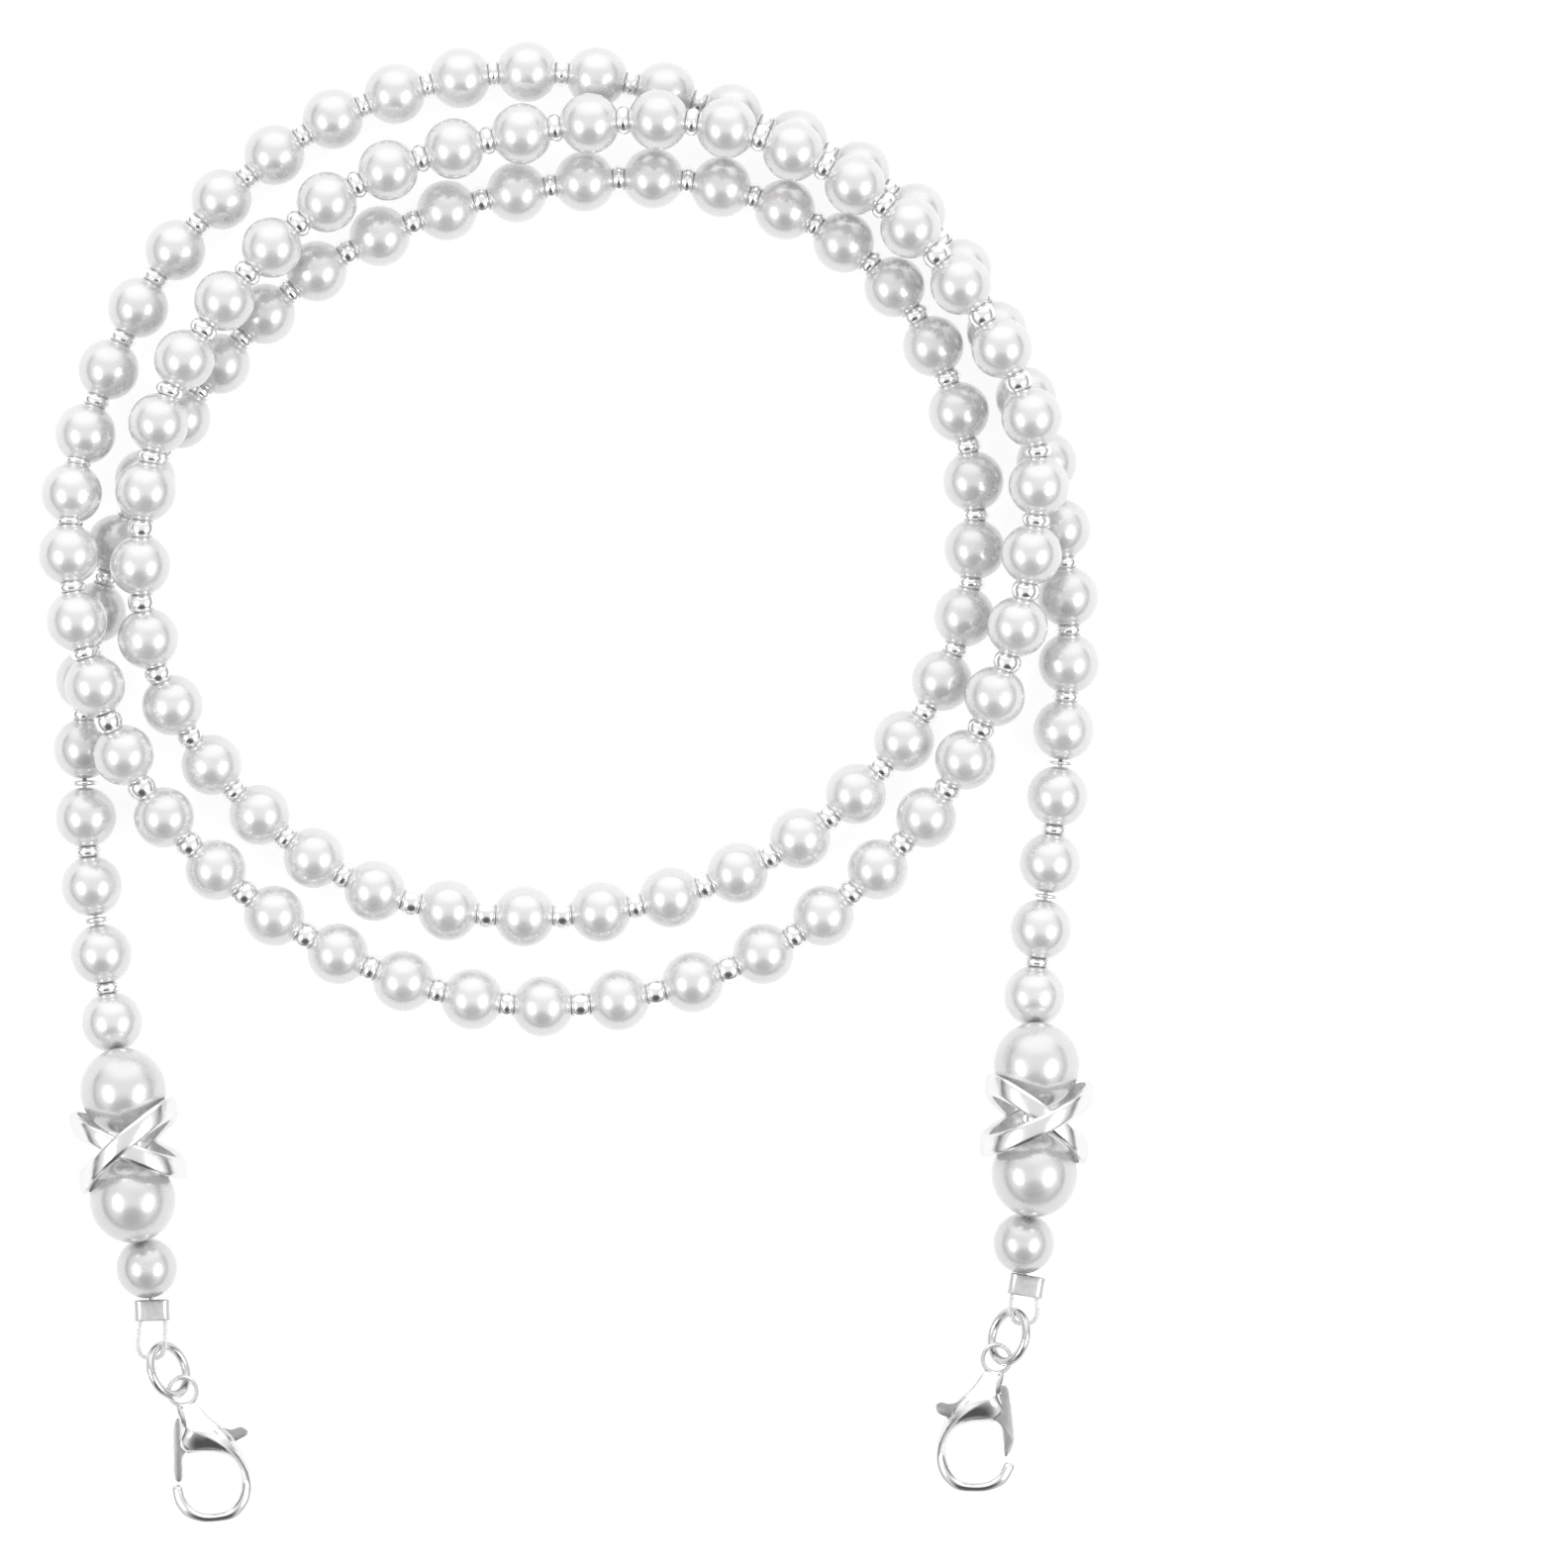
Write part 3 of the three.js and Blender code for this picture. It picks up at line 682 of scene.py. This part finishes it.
# The hook's rounded end: how far it goes on, and the share of the last section that is left
TIP = [(0.25, 0.88), (0.42, 0.55)]
CLASP_SPAN_STEPS = 6
EYE_R = 1.6
EYE_HOLE = 1.1
EYE_THICK = 0.8
EYE_SIDES = 48
SLOT = [(-2, -2.2), (0.2, -2.2), (1.9, -3.1), (3, -1.7), (9, -1.2), (9, -5.2), (4.9, -5.45),
        (4.5, -5.8), (4.4, -6.6), (-2, -6.6)]
SLOT_HALF = 0.75
LEVER_LOW, LEVER_HIGH = -0.65, 0.2
LEVER_SPAN_STEPS = 4
PIN_AT = (3.0, -4.1)
SPRING_GATE_END = (1.2, -3.6)
SPRING_TAB_END = (3.75, -3.5)
SPRING_FROM, SPRING_STEP = 100, -38  # degrees round the pin
SPRING_COIL = 0.72
SPRING_WIRE = 0.09
SPRING_LOW = CLASP_THICK / 2 + 0.35
SPRING_RISE = 0.025
SPRING_POINTS = 11


def raw_object(name, verts, faces):
    """A working object in the clasp's own frame, in millimetres."""
    mesh = bpy.data.meshes.new(name)
    mesh.from_pydata([tuple(v) for v in verts], [], faces)
    mesh.validate()
    thing = bpy.data.objects.new(name, mesh)
    bpy.context.collection.objects.link(thing)
    return thing


def prism(outline, low, high):
    """An outline in the clasp's plane, made solid between two heights."""
    n = len(outline)
    verts = [(x, y, z) for z in (low, high) for x, y in outline]
    faces = [tuple(reversed(range(n))), tuple(range(n, 2 * n))]
    faces += [(i, (i + 1) % n, n + (i + 1) % n, n + i) for i in range(n)]
    return verts, faces


def apply_modifiers(thing):
    graph = bpy.context.evaluated_depsgraph_get()
    done = bpy.data.meshes.new_from_object(thing.evaluated_get(graph))
    thing.modifiers.clear()
    thing.data = done


def apply_boolean(thing, cutter, operation):
    modifier = thing.modifiers.new("cut", "BOOLEAN")
    modifier.object = cutter
    modifier.operation = operation
    modifier.solver = "EXACT"
    apply_modifiers(thing)
    bpy.data.objects.remove(cutter)


def apply_bevel(thing, width, angle):
    modifier = thing.modifiers.new("edges", "BEVEL")
    modifier.width = width
    modifier.segments = 2
    modifier.limit_method = "ANGLE"
    modifier.angle_limit = math.radians(angle)
    apply_modifiers(thing)


def clasp_loft(stations):
    """The body as one bar, ridged along its middle, that narrows from the cheeks to the hook."""
    inner, ridge, outer = (
        centripetal([s[k] for s in stations], CLASP_SPAN_STEPS) for k in range(3))
    half, rim = centripetal([s[3:] for s in stations], CLASP_SPAN_STEPS).T
    middle = CLASP_THICK / 2
    verts = []
    for a, r, b, h, e in zip(inner, ridge, outer, half, rim):
        upper = [(r + ((b if side else a) - r) * out, h * (1 - (1 - e) * drop))
                 for side, out, drop in FACETS]
        verts += [(*p, middle + z) for p, z in upper]
        verts += [(*p, middle - z) for p, z in reversed(upper)]
    sides = 2 * len(FACETS)
    tip = np.array(verts[-sides:])
    centre = tip.mean(0)
    ahead = ridge[-1] - ridge[-2]
    ahead = np.array([*ahead / np.linalg.norm(ahead), 0])
    for push, shrink in TIP:
        verts += [tuple(centre + (p - centre) * shrink + ahead * push) for p in tip]
    return verts, capped_grid(len(inner) + len(TIP), sides)


def eye_ring():
    """The eye at the clasp's origin."""
    middle, wide = (EYE_R + EYE_HOLE) / 2, (EYE_R - EYE_HOLE) / 2
    turn = 2 * np.pi * np.arange(14) / 14
    profile = [(middle + wide * math.cos(t), EYE_THICK / 2 * math.sin(t)) for t in turn]
    verts, faces = lathe([(r, -y) for r, y in profile], EYE_SIDES)
    return [(x, z, y + CLASP_THICK / 2) for x, y, z in verts], faces


def clasp_body(short):
    """Hook, cheeks and eye, with the slot for the lever; short leaves out the hook's last bit."""
    stations = CLASP_STATIONS[:-1] if short else CLASP_STATIONS
    body = raw_object("clasp_work", *clasp_loft(stations))
    apply_boolean(body, raw_object("eye", *eye_ring()), "UNION")
    middle = CLASP_THICK / 2
    slot = raw_object("slot", *prism(SLOT, middle - SLOT_HALF, middle + SLOT_HALF))
    apply_boolean(body, slot, "DIFFERENCE")
    bore = prism(circle(EYE_HOLE, EYE_SIDES), -1, CLASP_THICK + 1)
    apply_boolean(body, raw_object("bore", *bore), "DIFFERENCE")
    return body


def lever_outline(pointed):
    """The gate and thumb tab; the gate is a wedge with a pointed end, or narrow and round."""
    if pointed:
        gate = [(-0.62, -2.55), (-0.88, -3.1), (-0.98, -4.2), (-1.02, -5.9), (-1.08, -7.1),
                (-0.96, -8.2), (0, -9.35), (0.04, -7.6), (0.15, -6.4), (0.7, -5.7)]
        tab = [(2.4, -5.35), (3.6, -5.3), (4.7, -5.15), (5.5, -4.95), (6, -4.6), (6.2, -4.15),
               (6.05, -3.8), (5.6, -3.65), (5, -3.85), (4.2, -3.8), (3.4, -3.4)]
    else:
        gate = [(-0.52, -2.55), (-0.78, -3.1), (-0.88, -4.2), (-0.88, -6.4), (-0.84, -7.8),
                (-0.68, -8.42), (-0.36, -8.64), (-0.06, -8.4), (0, -7.6), (0, -6.2), (0.45, -5.65)]
        tab = [(2.4, -5.35), (3.6, -5.25), (4.6, -4.98), (5.2, -4.65), (6.25, -3.95),
               (5.55, -3.4), (4.6, -3.65), (3.4, -3.3)]
    top = [(2, -3.45), (0.6, -3.6), (0.05, -2.9)]
    runs = (gate, tab, top)
    return [tuple(p) for run in runs for p in centripetal(run, LEVER_SPAN_STEPS)]


def take_mesh(thing):
    """The points and faces of a working object, which goes."""
    verts = np.array([v.co for v in thing.data.vertices], float)
    faces = [tuple(p.vertices) for p in thing.data.polygons]
    bpy.data.objects.remove(thing)
    return verts, faces


def clasp_matrix(end):
    """From the clasp's own frame, its eye at the origin; the right clasp is turned over."""
    eye = jump_frame(end)["eye"]
    place = Matrix.Translation((eye[0], eye[1], 0 if end["side"] < 0 else CLASP_THICK))
    turn = Matrix.Rotation(math.radians(end["clasp_turn"]), 4, "Z")
    flip = Matrix.Rotation(math.pi, 4, "Y") if end["side"] > 0 else Matrix.Identity(4)
    return place @ turn @ flip


def placed(verts, faces, matrix):
    m = np.array(matrix)
    return np.asarray(verts, float) @ m[:3, :3].T + m[:3, 3], faces


def spring_path():
    """One coil round the pin, with a leg to the gate and a leg to the tab."""
    path = [(*SPRING_GATE_END, SPRING_LOW)]
    for i in range(SPRING_POINTS):
        a = math.radians(SPRING_FROM + SPRING_STEP * i)
        path.append((PIN_AT[0] + SPRING_COIL * math.cos(a),
                     PIN_AT[1] + SPRING_COIL * math.sin(a), SPRING_LOW + SPRING_RISE * i))
    path.append((*SPRING_TAB_END, SPRING_LOW + SPRING_RISE * (SPRING_POINTS - 1)))
    return centripetal(path, 8)


def add_clasp(name, end):
    """Body, lever and spring; the right clasp's hook is shorter and its gate pointed."""
    matrix = clasp_matrix(end)
    body = f"{name}_clasp"
    right = end["side"] > 0
    work = clasp_body(short=right)
    apply_bevel(work, 0.05, 34)
    finish_mesh(f"{name}_clasp_hook", *placed(*take_mesh(work), matrix), CLASP, body, "fittings",
                [f"{name}_clasp_body"], sharp=35)
    middle = CLASP_THICK / 2
    outline = lever_outline(pointed=right)
    plate = prism(outline[::-1], middle + LEVER_LOW, middle + LEVER_HIGH)
    lever = raw_object("lever_work", *plate)
    apply_bevel(lever, 0.07, 40)
    finish_mesh(f"{name}_clasp_gate", *placed(*take_mesh(lever), matrix), LEVER,
                f"{name}_lever", "fittings", [f"{name}_clasp_lever"], sharp=40)
    spring = sweep(spring_path(), circle(SPRING_WIRE, 8))
    finish_mesh(f"{name}_clasp_coil", *placed(*spring, matrix), RING, body, "fittings",
                [f"{name}_clasp_spring"])


# ---------------------------------------------------------------- both ends


def add_tail(name, pearl):
    """The last pearls and seed beads of the strand, numbered outwards; pearl(i) counts inwards."""
    for i in range(TAIL_PEARLS):
        number = TAIL_PEARLS - i
        body = f"{name}_upper_tail" if number <= 2 else f"{name}_lower_tail"
        finish_mesh(f"{name}_tail_pearl_{number}", *copies(SMALL, [bead_matrix(pearl(i))]), PEARL,
                    body, "pearl_beads", [f"{name}_pearl_{number}"], sharp=CREASE)
        gap = sorted((pearl(i), pearl(i + 1)))
        nest = JOINT_NEST if number in (1, 3) else TAIL_NEST
        finish_mesh(f"{name}_tail_seed_{number}", *seed_copies([gap], nest), SEED, body,
                    "seed_beads", [f"{name}_seed_{number}"])


def add_end(name, end):
    """One whole end, from the tail out to the clasp."""
    left = end["side"] < 0

    def control(k):
        return control_arc[k if left else -1 - k]

    add_tail(name, lambda i: pearl_arcs[i if left else -1 - i])
    for key in ("upper", "lower"):
        centre = bead_matrix(control(END_KEYS.index(key)))
        finish_mesh(f"{name}_big_pearl_{key}", *copies(LARGE, [centre]), END_PEARL,
                    f"{name}_cluster", "pearl_beads", [f"{name}_large_pearl_{key}"], sharp=CREASE)
    middle = bead_matrix((control(2) + control(3)) / 2)
    seed = seed_template(MIDDLE_SEED_HALF, 24, 16)
    finish_mesh(f"{name}_middle_seed", *copies(seed, [middle]), SEED, f"{name}_cluster",
                "seed_beads", [f"{name}_inner_seed"])
    finish_mesh(f"{name}_last_pearl", *copies(SMALL, [bead_matrix(control(1))]), END_PEARL,
                f"{name}_end", "pearl_beads", [f"{name}_end_pearl"], sharp=CREASE)
    bands = finish_mesh(f"{name}_ring_bands", *cross_ring(end), RING, f"{name}_ring", "fittings",
                        [f"{name}_cross_ring"], sharp=30)
    # The inner face of each band gets the darker silver: painted shade for the inside of the ring
    bands.data.materials.append(RING_INSIDE_PAINTED_SHADE)
    for polygon in bands.data.polygons:
        polygon.material_index = int(polygon.index % RING_SIDES == RING_INNER_SIDE)
    finish_mesh(f"{name}_crimp", *crimp_tube(end), CRIMP, f"{name}_end", "crimp",
                [f"{name}_crimp_tube"], sharp=45)
    finish_mesh(f"{name}_nylon_loop", *thread_loop(end), THREAD, f"{name}_end", "thread",
                [f"{name}_thread_loop"])
    finish_mesh(f"{name}_round_ring", *jump_ring(end), JUMP, f"{name}_jump", "fittings",
                [f"{name}_jump_ring"], sharp=60)
    add_clasp(name, end)
    for key in ("upper_thread", "lower_thread", "cluster_thread"):
        node = bpy.data.objects[f"{name}_{key}"]
        for slot in node.material_slots:
            slot.material = THREAD
    for slot in bpy.data.objects[f"{name}_clasp_pin"].material_slots:
        slot.material = CLASP


add_thread(add_strand())
for end_name, end_data in ENDS.items():
    add_end(end_name, end_data)
